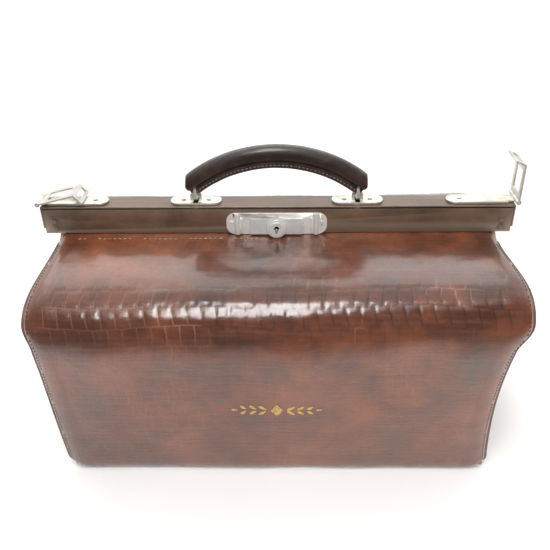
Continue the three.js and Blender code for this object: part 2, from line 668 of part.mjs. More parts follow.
const clipPin = () => rod("y", -LOOP.halfWidth, LOOP.halfWidth, CLIP.pin, [CLIP.pinX, 0, CLIP.pinZ], 14);

// Pressed loop standing up from the pin, with a bent tab that hooks under the frame.
// Drawn about the pin: Z along the loop, Y across, the tab bending towards -X.
function clipLoop() {
  const t = CLIP.thick / 2;
  const { halfWidth, leg: legWidth, bar, length, tab, rim, bend } = LOOP;
  const eyeEnd = CLIP_PLATE.neckHalfWidth + GAP;
  const face = plate(
    points([-halfWidth, 0], [halfWidth, 0], [halfWidth, length], [-halfWidth, length]), "x", -t, t);
  const opening = block(
    [-5, -(halfWidth - legWidth), CLIP.eye + bar], [5, halfWidth - legWidth, length - bar]);
  const eyes = rod("y", -halfWidth, halfWidth, CLIP.eye, [0, 0, 0], 16);
  const hole = rod("y", -20, 20, CLIP.hole, [0, 0, 0], 16);
  const knuckleRoom = block([-4, -eyeEnd, -4], [4, eyeEnd, CLIP.eye + GAP]);
  const tabPlate = block([-t, -halfWidth, -t], [t, halfWidth, tab]);
  const tabWindow = block([-5, -(halfWidth - rim), rim - t], [5, halfWidth - rim, tab - rim]);
  const turned = cut(tabPlate, tabWindow)
    .rotateY(-THREE.MathUtils.degToRad(bend)).translate(0, 0, length);
  return cut(join(face, eyes, turned), opening, hole, knuckleRoom);
}

for (const [end, word] of [[-1, "left"], [1, "right"]]) {
  const clip = group(rearFrame);
  clip.rotation.z = end > 0 ? 0 : Math.PI;
  add(clip, word + "_clip_plate", clipPlate(), nickel);
  add(clip, word + "_clip_pin", clipPin(), steel);
  add(clip, word + "_clip_rivet", topRivet(clipRivetX, PLATE_BOTTOM + CLIP_PLATE.thick), steel);
  const loop = group(clip, [CLIP.pinX, 0, CLIP.pinZ]);
  // The right loop stands open, the left one is folded in over its plate.
  if (end < 0) loop.rotation.y = -THREE.MathUtils.degToRad(90 - LOOP_FOLDED);
  add(loop, word + "_clip_loop", clipLoop(), nickel);
}

export default root;
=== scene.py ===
"""Doctor's bag: the looks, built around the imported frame. Metres, same frame as the CAD."""
import json
import math

import bmesh
import bpy
import numpy as np
from mathutils import Matrix, Vector, noise


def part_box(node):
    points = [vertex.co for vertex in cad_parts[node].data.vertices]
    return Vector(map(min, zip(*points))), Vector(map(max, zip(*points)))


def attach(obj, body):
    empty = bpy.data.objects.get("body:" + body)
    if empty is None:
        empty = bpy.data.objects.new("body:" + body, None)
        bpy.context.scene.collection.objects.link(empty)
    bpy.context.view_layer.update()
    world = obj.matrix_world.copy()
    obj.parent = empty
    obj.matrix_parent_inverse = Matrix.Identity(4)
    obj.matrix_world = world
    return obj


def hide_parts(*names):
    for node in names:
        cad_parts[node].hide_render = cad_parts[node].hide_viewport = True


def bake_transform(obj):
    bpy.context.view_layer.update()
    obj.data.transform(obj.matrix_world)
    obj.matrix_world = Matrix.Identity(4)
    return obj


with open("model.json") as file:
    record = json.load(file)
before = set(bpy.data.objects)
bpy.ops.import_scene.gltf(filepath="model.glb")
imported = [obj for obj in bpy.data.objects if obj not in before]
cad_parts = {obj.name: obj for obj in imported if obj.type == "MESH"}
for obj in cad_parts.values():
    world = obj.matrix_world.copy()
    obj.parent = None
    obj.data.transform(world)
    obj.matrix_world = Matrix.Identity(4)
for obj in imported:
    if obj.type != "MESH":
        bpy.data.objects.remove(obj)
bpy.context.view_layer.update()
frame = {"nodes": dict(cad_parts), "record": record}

scene = bpy.context.scene
nodes = frame["nodes"]
body_of = {n: b for b, members in frame["record"]["behaviour"]["bodies"].items() for n in members}

# ---------------------------------------------------------------- camera, light, floor

PITCH, YAW, ROLL = math.radians(31.68), math.radians(-1.25), math.radians(-0.82)
TARGET = Vector((-0.0024, 0.0, 0.154))
DISTANCE = 0.6555

forward = Vector((math.sin(YAW) * math.cos(PITCH), math.cos(YAW) * math.cos(PITCH), -math.sin(PITCH)))
flat_right = Vector((math.cos(YAW), -math.sin(YAW), 0))
flat_up = flat_right.cross(forward)
right = flat_right * math.cos(ROLL) + flat_up * math.sin(ROLL)
up = flat_up * math.cos(ROLL) - flat_right * math.sin(ROLL)
camera = bpy.data.objects.new("camera", bpy.data.cameras.new("camera"))
scene.collection.objects.link(camera)
turn = Matrix((right, up, -forward)).transposed().to_4x4()
camera.matrix_world = Matrix.Translation(TARGET - forward * DISTANCE) @ turn
camera.data.lens = 44.2
camera.data.sensor_width = 36
camera.data.clip_start = 0.01
scene.camera = camera

scene.view_settings.view_transform = "Standard"
world = bpy.data.worlds.new("studio")
scene.world = world
world.use_nodes = True


def light_room():
    """A white sweep behind and above, and a darker room on the camera's side."""
    tree = world.node_tree
    place = tree.nodes.new("ShaderNodeTexCoord")
    split = tree.nodes.new("ShaderNodeSeparateXYZ")
    tree.links.new(place.outputs["Generated"], split.inputs[0])
    shares = []
    for output, low, high in (("Z", 0.84, 1.02), ("Y", -0.10, 0.30)):
        share = tree.nodes.new("ShaderNodeMapRange")
        share.inputs["From Min"].default_value = low
        share.inputs["From Max"].default_value = high
        tree.links.new(split.outputs[output], share.inputs["Value"])
        shares.append(share.outputs["Result"])
    either = tree.nodes.new("ShaderNodeMath")
    either.operation = "MAXIMUM"
    for socket, share in zip(either.inputs, shares):
        tree.links.new(share, socket)
    shade = tree.nodes.new("ShaderNodeValToRGB")
    shade.color_ramp.elements[0].color = (0.10, 0.088, 0.078, 1)
    shade.color_ramp.elements[1].color = (1.0, 0.985, 0.97, 1)
    tree.links.new(either.outputs[0], shade.inputs[0])
    tree.links.new(shade.outputs[0], tree.nodes["Background"].inputs["Color"])
    tree.nodes["Background"].inputs["Strength"].default_value = 1.05


light_room()


def area_light(name, location, target, size, power, glossy=True):
    light = bpy.data.lights.new(name, "AREA")
    light.shape = "RECTANGLE"
    light.size, light.size_y = size
    light.energy = power
    obj = bpy.data.objects.new(name, light)
    scene.collection.objects.link(obj)
    obj.location = location
    obj.visible_glossy = glossy
    obj.rotation_euler = (Vector(target) - Vector(location)).to_track_quat("-Z", "Y").to_euler()


area_light("overhead", (-0.13, -0.60, 1.55), (0, -0.05, 0.15), (0.42, 0.80), 15)
area_light("back", (-0.2, 1.3, 1.5), (0, 0, 0.15), (2.2, 1.2), 12)
area_light("front_fill", (0.3, -1.9, 0.8), (0, 0, 0.12), (1.6, 1.0), 33, glossy=False)

# ---------------------------------------------------------------- materials


class Graph:
    """Short words for building one node material."""

    def __init__(self, name):
        self.material = bpy.data.materials.new(name)
        self.material.use_nodes = True
        self.tree = self.material.node_tree
        self.shader = self.tree.nodes["Principled BSDF"]

    def node(self, kind, inputs=None, **settings):
        made = self.tree.nodes.new(kind)
        for key, value in settings.items():
            setattr(made, key, value)
        for key, value in (inputs or {}).items():
            self.feed(made.inputs[key], value)
        return made

    def feed(self, socket, value):
        if isinstance(value, bpy.types.NodeSocket):
            self.tree.links.new(value, socket)
        elif socket.type == "RGBA" and len(value) == 3:
            socket.default_value = (*value, 1)
        else:
            socket.default_value = value

    def set(self, **values):
        """Shader inputs by name, with _ for a space."""
        for key, value in values.items():
            self.feed(self.shader.inputs[key.replace("_", " ")], value)

    def place(self, stretch=None):
        """Position in the piece's own space."""
        out = self.node("ShaderNodeTexCoord").outputs["Object"]
        return self.stretched(out, stretch)

    def stored(self, name, stretch=None):
        out = self.node("ShaderNodeAttribute", attribute_name=name).outputs["Vector"]
        return self.stretched(out, stretch)

    def stretched(self, vector, stretch):
        if not stretch:
            return vector
        return self.node("ShaderNodeMapping", {"Vector": vector, "Scale": stretch}).outputs["Vector"]

    def noise(self, vector, scale, detail=4, rough=0.55, distort=0):
        made = self.node("ShaderNodeTexNoise", {
            "Vector": vector, "Scale": scale, "Detail": detail, "Roughness": rough,
            "Distortion": distort})
        return made.outputs["Fac"]

    def cells(self, vector, scale, feature="DISTANCE_TO_EDGE", out="Distance", random=1.0):
        made = self.node("ShaderNodeTexVoronoi", {"Vector": vector, "Scale": scale, "Randomness": random},
                         feature=feature)
        return made.outputs[out]

    def ramp(self, value, *stops):
        made = self.node("ShaderNodeValToRGB", {"Fac": value})
        elements = made.color_ramp.elements
        while len(elements) < len(stops):
            elements.new(0.5)
        for element, (at, colour) in zip(elements, stops):
            element.position = at
            shade = (colour,) * 3 if isinstance(colour, (int, float)) else colour
            element.color = (*shade, 1)
        return made.outputs["Color"]

    def mix(self, share, a, b, blend="MIX"):
        made = self.node("ShaderNodeMix", data_type="RGBA", blend_type=blend)
        for index, value in ((0, share), (6, a), (7, b)):
            self.feed(made.inputs[index], value)
        return made.outputs[2]

    def math(self, operation, a, b=None, c=None):
        made = self.node("ShaderNodeMath", operation=operation)
        for index, value in enumerate((a, b, c)):
            if value is not None:
                self.feed(made.inputs[index], value)
        return made.outputs[0]

    def range(self, value, low, high, to_low=0.0, to_high=1.0):
        made = self.node("ShaderNodeMapRange", {
            "Value": value, "From Min": low, "From Max": high, "To Min": to_low, "To Max": to_high})
        return made.outputs["Result"]

    def axes(self, vector):
        return self.node("ShaderNodeSeparateXYZ", {"Vector": vector}).outputs

    def bump(self, height, distance, strength=1.0, under=None):
        inputs = {"Height": height, "Distance": distance, "Strength": strength}
        if under is not None:
            inputs["Normal"] = under
        return self.node("ShaderNodeBump", inputs).outputs["Normal"]

    def wear(self, low=0.52, high=0.62):
        """Share of each point that is a worn outer edge."""
        return self.range(self.node("ShaderNodeNewGeometry").outputs["Pointiness"], low, high)


TILE_WIDTH, TILE_HEIGHT = 0.0118, 0.0172


def croc_leather():
    g = Graph("croc_leather")
    rest = g.stored("rest")
    cut = g.axes(g.stored("cut"))
    x, s, mask = cut[0], cut[1], cut[2]
    broad = g.noise(rest, 7, 4, 0.55)
    mottle = g.noise(rest, 34, 6, 0.65, 0.4)
    fine = g.noise(rest, 420, 4, 0.6)
    streaks = g.noise(g.stored("cut", (9, 240, 0)), 1.6, 5, 0.6)

    # Embossed scales: wavy rows of near-rectangular tiles along the panel.
    wave_x = g.math("MULTIPLY", g.math("SINE", g.math("MULTIPLY_ADD", s, 95.0, 0.4)), 0.0022)
    wave_s = g.math("MULTIPLY", g.math("SINE", g.math("MULTIPLY_ADD", x, 37.0, 0.7)), 0.0018)
    warp = g.range(g.noise(rest, 60, 3, 0.5), 0, 1, -0.0017, 0.0017)
    xd = g.math("ADD", g.math("ADD", x, wave_x), warp)
    sd = g.math("ADD", g.math("ADD", s, wave_s), warp)
    row = g.math("FLOOR", g.math("DIVIDE", sd, TILE_HEIGHT))
    across = g.math("FRACT", g.math("MULTIPLY_ADD", row, 0.37, g.math("DIVIDE", xd, TILE_WIDTH)))
    along = g.math("FRACT", g.math("DIVIDE", sd, TILE_HEIGHT))

    def groove(part, size, half_width):
        edge = g.math("MULTIPLY", g.math("MINIMUM", part, g.math("SUBTRACT", 1.0, part)), size)
        return g.range(edge, 0.0, half_width, 1.0, 0.0)

    upright = groove(across, TILE_WIDTH, 0.0009)
    level = groove(along, TILE_HEIGHT, 0.0009)
    broken = g.range(g.noise(rest, 90, 3, 0.6), 0.24, 0.42)
    cracks = g.math("MULTIPLY", g.math("MAXIMUM", upright, g.math("MULTIPLY", level, 0.8)), mask)
    cracks = g.math("MULTIPLY", cracks, broken)
    grain = g.range(g.cells(g.stored("cut", (1.0, 2.1, 1)), 430), 0.0, 0.22, 1.0, 0.0)
    small = g.range(g.cells(g.stored("cut", (1.0, 1.6, 1)), 120, random=0.8), 0.0, 0.08, 1.0, 0.0)

    tone = g.math("ADD", g.math("MULTIPLY", broad, 0.55), g.math("MULTIPLY", mottle, 0.45))
    colour = g.ramp(tone, (0.34, (0.034, 0.0075, 0.0036)), (0.45, (0.100, 0.0240, 0.0080)),
                    (0.55, (0.185, 0.047, 0.0135)), (0.70, (0.290, 0.088, 0.028)))
    stains = g.range(g.noise(g.stored("rest", (1, 1, 1.7)), 13, 6, 0.62, 0.8), 0.50, 0.64)
    colour = g.mix(g.math("MULTIPLY", stains, 0.42), colour, (0.045, 0.0120, 0.0060))
    colour = g.mix(g.range(streaks, 0.45, 0.75, 0.0, 0.30), colour, (0.24, 0.095, 0.052))
    height = g.axes(rest)[2]
    low_part = g.range(height, 0.0, 0.155, 1.0, 0.0)
    colour = g.mix(g.math("MULTIPLY", low_part, 0.45), colour, (0.085, 0.034, 0.022))
    # Greenish grey bloom low on the right and smudges of old polish.
    bloom = g.range(g.noise(rest, 11, 5, 0.6), 0.5, 0.68)
    bloom = g.math("MULTIPLY", g.range(g.axes(rest)[0], 0.02, 0.19), bloom)
    colour = g.mix(g.math("MULTIPLY", bloom, 0.45), colour, (0.060, 0.058, 0.042))
    left = g.range(x, -0.05, -0.10, 0.0, 1.0)
    pale = g.math("MAXIMUM", g.math("MULTIPLY", left, 0.5), g.range(g.noise(rest, 16, 3, 0.5), 0.55, 0.62))
    line = g.mix(pale, (0.030, 0.009, 0.005), (0.42, 0.23, 0.15))
    colour = g.mix(g.math("MULTIPLY", cracks, 0.92), colour, line)
    colour = g.mix(g.math("MULTIPLY", small, 0.16), colour, (0.035, 0.011, 0.006))
    scuffs = g.range(g.noise(g.stored("cut", (60, 14, 0)), 5, 6, 0.7, 1.2), 0.66, 0.72)
    worn = g.math("MAXIMUM", g.math("MULTIPLY", scuffs, 0.35), g.math("MULTIPLY", g.wear(0.53, 0.60), 0.5))
    colour = g.mix(worn, colour, (0.40, 0.22, 0.14))
    g.set(Base_Color=colour)
    rough = g.math("ADD", g.math("MULTIPLY", mottle, 0.6), g.math("MULTIPLY", fine, 0.4))
    rough = g.range(rough, 0.3, 0.7, 0.26, 0.46)
    g.set(Roughness=g.math("MAXIMUM", rough, g.math("MULTIPLY", cracks, 0.6)))
    g.set(Coat_Weight=1.0, Coat_IOR=1.62, IOR=1.42)
    g.set(Coat_Roughness=g.range(g.math("ADD", g.math("MULTIPLY", mottle, 0.5), g.math("MULTIPLY", fine, 0.5)),
                                 0.35, 0.65, 0.13, 0.27))
    relief = g.math("ADD", g.math("MULTIPLY", cracks, -1.0), g.math("MULTIPLY", small, -0.22))
    relief = g.math("ADD", relief, g.math("MULTIPLY", grain, -0.10))
    relief = g.math("ADD", relief, g.math("MULTIPLY", mottle, 0.5))
    wrinkles = g.bump(g.noise(g.stored("cut", (30, 130, 0)), 2.2, 4, 0.6), 0.0006, 0.5)
    g.set(Normal=g.bump(relief, 0.00060, 1.0, wrinkles))
    return g.material


def smooth_leather(name, dark, mid, light, rough=(0.3, 0.5), coat=0.3):
    g = Graph(name)
    rest = g.stored("rest")
    tone = g.noise(rest, 40, 6, 0.65, 0.5)
    colour = g.ramp(tone, (0.3, dark), (0.5, mid), (0.72, light))
    pores = g.range(g.cells(rest, 900), 0.0, 0.25, 1.0, 0.0)
    creases = g.range(g.noise(rest, 160, 5, 0.7, 1.5), 0.62, 0.72)
    colour = g.mix(g.math("MULTIPLY", pores, 0.3), colour, dark)
    colour = g.mix(g.math("MULTIPLY", g.wear(0.52, 0.60), 0.6), colour, light)
    g.set(Base_Color=colour, Roughness=g.range(tone, 0.3, 0.7, *rough))
    g.set(Coat_Weight=coat, Coat_Roughness=0.24)
    relief = g.math("ADD", g.math("MULTIPLY", pores, -0.5), g.math("MULTIPLY", creases, -0.8))
    g.set(Normal=g.bump(g.math("ADD", relief, g.math("MULTIPLY", tone, 0.8)), 0.00025, 0.9))
    return g.material


def lining_cloth():
    g = Graph("lining_cloth")
    rest = g.stored("rest")
    warp = g.node("ShaderNodeTexWave", {"Vector": rest, "Scale": 420.0, "Distortion": 0.6, "Detail": 1.0},
                  wave_type="BANDS", bands_direction="X").outputs["Fac"]
    weft = g.node("ShaderNodeTexWave", {"Vector": rest, "Scale": 420.0, "Distortion": 0.6, "Detail": 1.0},
                  wave_type="BANDS", bands_direction="Z").outputs["Fac"]
    weave = g.math("MULTIPLY", warp, weft)
    stain = g.noise(rest, 14, 5, 0.6)
    colour = g.ramp(stain, (0.3, (0.22, 0.15, 0.085)), (0.5, (0.34, 0.255, 0.155)), (0.7, (0.42, 0.33, 0.215)))
    colour = g.mix(g.range(weave, 0, 1, 0.35, 0.0), colour, (0.13, 0.09, 0.05))
    g.set(Base_Color=colour, Roughness=g.range(stain, 0.3, 0.7, 0.8, 0.95), Sheen_Weight=0.15)
    g.set(Normal=g.bump(weave, 0.0002, 0.8))
    return g.material


def enamel():
    """Old brown enamel over steel, with chips and rubbed edges."""
    g = Graph("frame_enamel")
    at = g.place()
    mottle = g.noise(at, 26, 6, 0.62, 0.6)
    drag = g.noise(g.place((14, 110, 110)), 2.0, 4, 0.55)
    colour = g.ramp(g.math("ADD", g.math("MULTIPLY", mottle, 0.7), g.math("MULTIPLY", drag, 0.3)),
                    (0.34, (0.072, 0.042, 0.026)), (0.50, (0.118, 0.072, 0.047)), (0.68, (0.170, 0.105, 0.069)))
    chips = g.range(g.noise(at, 210, 5, 0.75, 0.8), 0.685, 0.72)
    scratches = g.range(g.noise(g.place((24, 700, 700)), 1.3, 3, 0.7, 2.0), 0.70, 0.73)
    worn = g.math("MAXIMUM", g.math("MAXIMUM", chips, g.math("MULTIPLY", scratches, 0.6)), g.wear(0.53, 0.60))
    g.set(Base_Color=g.mix(worn, colour, (0.36, 0.30, 0.24)))
    g.set(Metallic=g.range(worn, 0, 1, 0.24, 0.85))
    g.set(Roughness=g.range(mottle, 0.3, 0.7, 0.34, 0.50), Coat_Weight=0.35, Coat_Roughness=0.3)
    relief = g.math("ADD", g.math("MULTIPLY", worn, -0.5), g.math("MULTIPLY", drag, 0.2))
    g.set(Normal=g.bump(relief, 0.00008, 0.5))
    return g.material


def plated(name, clean, tarnish, deep, rough=(0.16, 0.36), grime=0.62, metal=1.0):
    """Plated or bare metal, tarnished in patches, dark in its corners and bright on its edges."""
    g = Graph(name)
    at = g.place()
    cloud = g.noise(at, 75, 4, 0.5, 0.3)
    spots = g.range(g.noise(at, 620, 4, 0.7), grime, grime + 0.07)
    brushed = g.noise(g.place((90, 900, 900)), 1.6, 3, 0.6)
    colour = g.ramp(cloud, (0.32, tarnish), (0.60, clean))
    colour = g.mix(g.math("MULTIPLY", spots, 0.7), colour, deep)
    corners = g.range(g.node("ShaderNodeNewGeometry").outputs["Pointiness"], 0.40, 0.48, 1.0, 0.0)
    colour = g.mix(g.math("MULTIPLY", corners, 0.8), colour, deep)
    g.set(Base_Color=g.mix(g.math("MULTIPLY", g.wear(), 0.5), colour, clean))
    g.set(Metallic=g.range(spots, 0, 1, metal, 0.6 * metal))
    polish = g.range(cloud, 0.3, 0.7, rough[1], rough[0])
    g.set(Roughness=g.math("ADD", polish, g.math("MULTIPLY", spots, 0.25)))
    relief = g.math("ADD", g.math("MULTIPLY", spots, -0.6), g.math("MULTIPLY", brushed, 0.25))
    g.set(Normal=g.bump(relief, 0.00004, 0.5))
    return g.material


def thread(name, dark, light):
    g = Graph(name)
    at = g.stored("rest")
    tone = g.noise(at, 700, 4, 0.6)
    g.set(Base_Color=g.ramp(tone, (0.35, dark), (0.65, light)))
    g.set(Roughness=g.range(tone, 0.3, 0.7, 0.5, 0.75), Normal=g.bump(tone, 0.00015, 0.8))
    return g.material


def gilt():
    g = Graph("worn_gilt")
    at = g.stored("rest")
    rub = g.range(g.noise(at, 520, 5, 0.7), 0.50, 0.60)
    g.set(Base_Color=g.mix(rub, (0.62, 0.43, 0.17), (0.22, 0.10, 0.045)))
    g.set(Metallic=g.range(rub, 0, 1, 0.75, 0.0), Roughness=g.range(rub, 0, 1, 0.34, 0.5))
    g.set(Normal=g.bump(g.noise(at, 900, 3, 0.6), 0.00006, 0.6))
    return g.material


def fibreboard():
    g = Graph("fibreboard")
    at = g.place()
    tone = g.noise(at, 300, 6, 0.7)
    g.set(Base_Color=g.ramp(tone, (0.35, (0.16, 0.11, 0.06)), (0.65, (0.33, 0.25, 0.15))))
    g.set(Roughness=g.range(tone, 0.3, 0.7, 0.8, 0.95), Normal=g.bump(tone, 0.0003, 0.7))
    return g.material


CROC = croc_leather()
PIPING = smooth_leather("piping_leather", (0.030, 0.010, 0.006), (0.075, 0.026, 0.015), (0.20, 0.085, 0.045))
BASE = smooth_leather("base_leather", (0.035, 0.013, 0.008), (0.085, 0.032, 0.018),
                      (0.17, 0.08, 0.05), (0.45, 0.7))
HANDLE = smooth_leather("handle_leather", (0.0085, 0.0050, 0.0040), (0.021, 0.0115, 0.0090),
                        (0.075, 0.042, 0.032), (0.30, 0.46), 0.55)
LINING = lining_cloth()
ENAMEL = enamel()
NICKEL = plated("aged_nickel", (0.76, 0.74, 0.68), (0.56, 0.53, 0.45), (0.14, 0.115, 0.08),
                (0.30, 0.44), 0.67, 0.72)
SATIN = plated("satin_nickel", (0.76, 0.77, 0.77), (0.64, 0.645, 0.64), (0.20, 0.18, 0.15),
               (0.38, 0.5), 0.68, 0.55)
LOCK_NICKEL = plated("lock_nickel", (0.88, 0.87, 0.84), (0.72, 0.70, 0.65), (0.12, 0.10, 0.07),
                     (0.34, 0.46), 0.68, 0.55)
STEEL = plated("dull_steel", (0.42, 0.40, 0.37), (0.22, 0.19, 0.16), (0.07, 0.05, 0.035), (0.3, 0.5), 0.56)
BLACK = plated("blackened_steel", (0.035, 0.032, 0.03), (0.02, 0.018, 0.016), (0.008, 0.007, 0.006), (0.4, 0.6))
DARK_THREAD = thread("dark_thread", (0.085, 0.065, 0.052), (0.26, 0.21, 0.18))
SEAM_THREAD = thread("seam_thread", (0.055, 0.022, 0.012), (0.16, 0.075, 0.042))
THREAD = thread("waxed_thread", (0.20, 0.11, 0.065), (0.50, 0.36, 0.24))
GILT, BOARD = gilt(), fibreboard()

# ---------------------------------------------------------------- mesh helpers


def piece(name, vertices, faces, *materials, smooth=True):
    data = bpy.data.meshes.new(name)
    data.from_pydata([tuple(map(float, v)) for v in vertices], [], faces)
    for material in materials:
        data.materials.append(material)
    if smooth:
        data.shade_smooth()
    data.update()
    obj = bpy.data.objects.new(name, data)
    scene.collection.objects.link(obj)
    return obj


def store(obj, name, values, kind="FLOAT_VECTOR"):
    attribute = obj.data.attributes.new(name, kind, "POINT")
    attribute.data.foreach_set("vector", np.asarray(values, np.float32).ravel())


def remember_rest(obj):
    co = np.zeros(len(obj.data.vertices) * 3, np.float32)
    obj.data.vertices.foreach_get("co", co)
    if "rest" in obj.data.attributes:
        obj.data.attributes.remove(obj.data.attributes["rest"])
    store(obj, "rest", co)


def settle(obj):
    """Applies every modifier on obj."""
    graph = bpy.context.evaluated_depsgraph_get()
    graph.update()
    made = bpy.data.meshes.new_from_object(
        obj.evaluated_get(graph), preserve_all_data_layers=True, depsgraph=graph)
    obj.modifiers.clear()
    obj.data = made


def grid_faces(rows, columns, flip=False, offset=0):
    faces = []
    for i in range(rows - 1):
        for j in range(columns - 1):
            a = offset + i * columns + j
            quad = (a, a + 1, a + columns + 1, a + columns)
            faces.append(quad[::-1] if flip else quad)
    return faces


def sheet_piece(name, points, cut, outer, inner, thickness, flip):
    """A leather sheet from a grid of outer-surface points, lined on its inside."""
    rows, columns = points.shape[:2]
    obj = piece(name, points.reshape(-1, 3), grid_faces(rows, columns, flip), outer, inner)
    store(obj, "cut", cut.reshape(-1, 3))
    skin = obj.modifiers.new("thickness", "SOLIDIFY")
    skin.thickness = thickness
    skin.offset = -1
    skin.material_offset = 1
    skin.material_offset_rim = 0
    skin.use_quality_normals = True
    settle(obj)
    remember_rest(obj)
    return obj


def along(path):
    """Directions and two steady sideways vectors at each point of a path."""
    path = np.asarray(path, float)
    heading = np.gradient(path, axis=0)
    heading /= np.linalg.norm(heading, axis=1)[:, None]
    side = np.zeros_like(path)
    seed = np.array((0.0, 0.0, 1.0)) if abs(heading[0][2]) < 0.8 else np.array((0.0, 1.0, 0.0))
    current = np.cross(heading[0], seed)
    for i, h in enumerate(heading):
        current = current - h * np.dot(current, h)
        current /= np.linalg.norm(current)
        side[i] = current
    return heading, side, np.cross(heading, side)


def tube(name, path, radius, material, sides=10, squash=1.0):
    """A round cord through the points of path, closed at both ends."""
    heading, side, other = along(path)
    vertices, faces = [], []
    count = len(path)
    for i in range(count):
        end = min(i, count - 1 - i)
        r = radius * (0.55 if end == 0 else 1.0)
        for k in range(sides):
            a = 2 * math.pi * k / sides
            vertices.append(path[i] + side[i] * (r * math.cos(a)) + other[i] * (r * squash * math.sin(a)))
    for i in range(count - 1):
        for k in range(sides):
            a, b = i * sides + k, i * sides + (k + 1) % sides
            faces.append((a, b, b + sides, a + sides))
    faces.append(tuple(range(sides))[::-1])
    faces.append(tuple((count - 1) * sides + k for k in range(sides)))
    return piece(name, vertices, faces, material)


def stitches(name, path, outward, pitch, length, radius, material, lift=0.0, skip=None):
    """A row of short thread stitches along a path, each a small rounded bar lying on the surface."""
    path = np.asarray(path, float)
    outward = np.asarray(outward, float)
    run = np.concatenate([[0], np.cumsum(np.linalg.norm(np.diff(path, axis=0), axis=1))])
    vertices, faces = [], []
    at = pitch
    index = 0
    while at < run[-1] - pitch:
        index += 1
        ends = [np.array([np.interp(q, run, path[:, k]) for k in range(3)])
                for q in (at - length / 2, at + length / 2)]
        n = np.array([np.interp(at, run, outward[:, k]) for k in range(3)])
        n /= np.linalg.norm(n)
        at += pitch
        if skip and skip(index):
            continue
        line = ends[1] - ends[0]
        line /= np.linalg.norm(line)
        side = np.cross(line, n)
        start = len(vertices)
        stations = ((0.0, 0.35, -0.4), (0.18, 0.9, 0.45), (0.5, 1.0, 0.75),
                    (0.82, 0.9, 0.45), (1.0, 0.35, -0.4))
        for share, size, rise in stations:
            centre = ends[0] + (ends[1] - ends[0]) * share + n * (radius * rise + lift)
            for k in range(6):
                a = math.pi * k / 3
                vertices.append(centre + side * (radius * size * math.cos(a))
                                + n * (radius * size * math.sin(a)))
        for i in range(len(stations) - 1):
            for k in range(6):
                a, b = start + i * 6 + k, start + i * 6 + (k + 1) % 6
                faces.append((a, a + 6, b + 6, b))
        faces.append(tuple(start + k for k in range(6)))
        faces.append(tuple(start + (len(stations) - 1) * 6 + k for k in range(6))[::-1])
    obj = piece(name, vertices, faces, material)
    remember_rest(obj)
    return obj


# ---------------------------------------------------------------- leather shell

NECK_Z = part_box("front_frame_bar")[0].z - 0.0004
PIVOT = Vector((0, 0, (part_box("left_hinge_pin")[0].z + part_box("left_hinge_pin")[1].z) / 2))
BASE_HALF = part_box("base_panel")[1].x
FOLD_HALF = 0.2084
NECK_HALF = 0.2005
SEAM_INSET = 0.0012  # how far the end leather sits inside the panels' edges
END_HOLLOW = 0.0085  # how deep each end sinks between its seams
EDGE = 0.0075  # how softly a panel turns at its side edges
LEG_CLEAR = 0.1970  # where the end leather passes outside the frame's legs
TURN = 0.955  # share of the half length where that turn starts
SEAM_TOP = 0.174  # height where the upright end seams give way to the folding wings
THICK = 0.0024
WING_THICK = 0.0016


def smoothstep(t):
    t = np.clip(t, 0, 1)
    return t * t * (3 - 2 * t)


def spline(control, count):
    """A clamped cubic B-spline through a soft path, resampled at even steps of its length."""
    p = np.asarray([control[0]] * 2 + list(control) + [control[-1]] * 2, float)
    curve = []
    for i in range(len(p) - 3):
        for t in np.linspace(0, 1, 16, endpoint=False):
            w = np.array(((1 - t) ** 3, 3 * t**3 - 6 * t**2 + 4, -3 * t**3 + 3 * t**2 + 3 * t + 1, t**3)) / 6
            curve.append(w @ p[i:i + 4])
    curve.append(p[-1])
    curve = np.array(curve)
    run = np.concatenate([[0], np.cumsum(np.linalg.norm(np.diff(curve, axis=0), axis=1))])
    at = np.linspace(0, run[-1], count)
    return np.stack([np.interp(at, run, curve[:, k]) for k in range(curve.shape[1])], 1), run[-1]


def fold_lift(x, front):
    """The fold hangs lower at the left of the front than at the right, and droops in the middle."""
    droop = -0.0022 * (1 - (x / FOLD_HALF) ** 2)
    lean = 0.0200 * x if front else 0.004 * x
    return droop + lean


def profile(x, front):
    """Depth and height of the outer surface at x, from under the base to the frame."""
    share = np.clip(abs(x) / FOLD_HALF, 0, 1)
    crown = 1 - share**2
    lift = fold_lift(x, front)
    ripple = 0.0012 * math.sin(31 * x + (0.8 if front else 2.1)) + 0.0007 * math.sin(73 * x + 0.5)
    return [
        (0.0900, 0.0006), (0.1010, 0.0004), (0.1058, 0.0040), (0.1066, 0.0150),
        (0.1083 + 0.0020 * crown, 0.0550), (0.1112 + 0.0035 * crown + 0.3 * ripple, 0.0960),
        (0.1148 + 0.0035 * crown + ripple, 0.1280 + 0.3 * lift),
        (0.1205 + 0.0022 * crown + ripple, 0.1520 + 0.8 * lift),
        (0.1200 + 0.0008 * crown + 0.5 * ripple, 0.1745 + lift), (0.1085, 0.1900 + lift),
        (0.0900, 0.1978 + 0.9 * lift + 0.4 * ripple), (0.0700, 0.2003 + 0.6 * lift + 0.6 * ripple),
        (0.0460, 0.2020 + 0.3 * lift + 0.6 * ripple),
        (0.0240, 0.2038), (0.0118, NECK_Z - 0.0006), (0.0098, NECK_Z), (0.0090, NECK_Z),
    ]


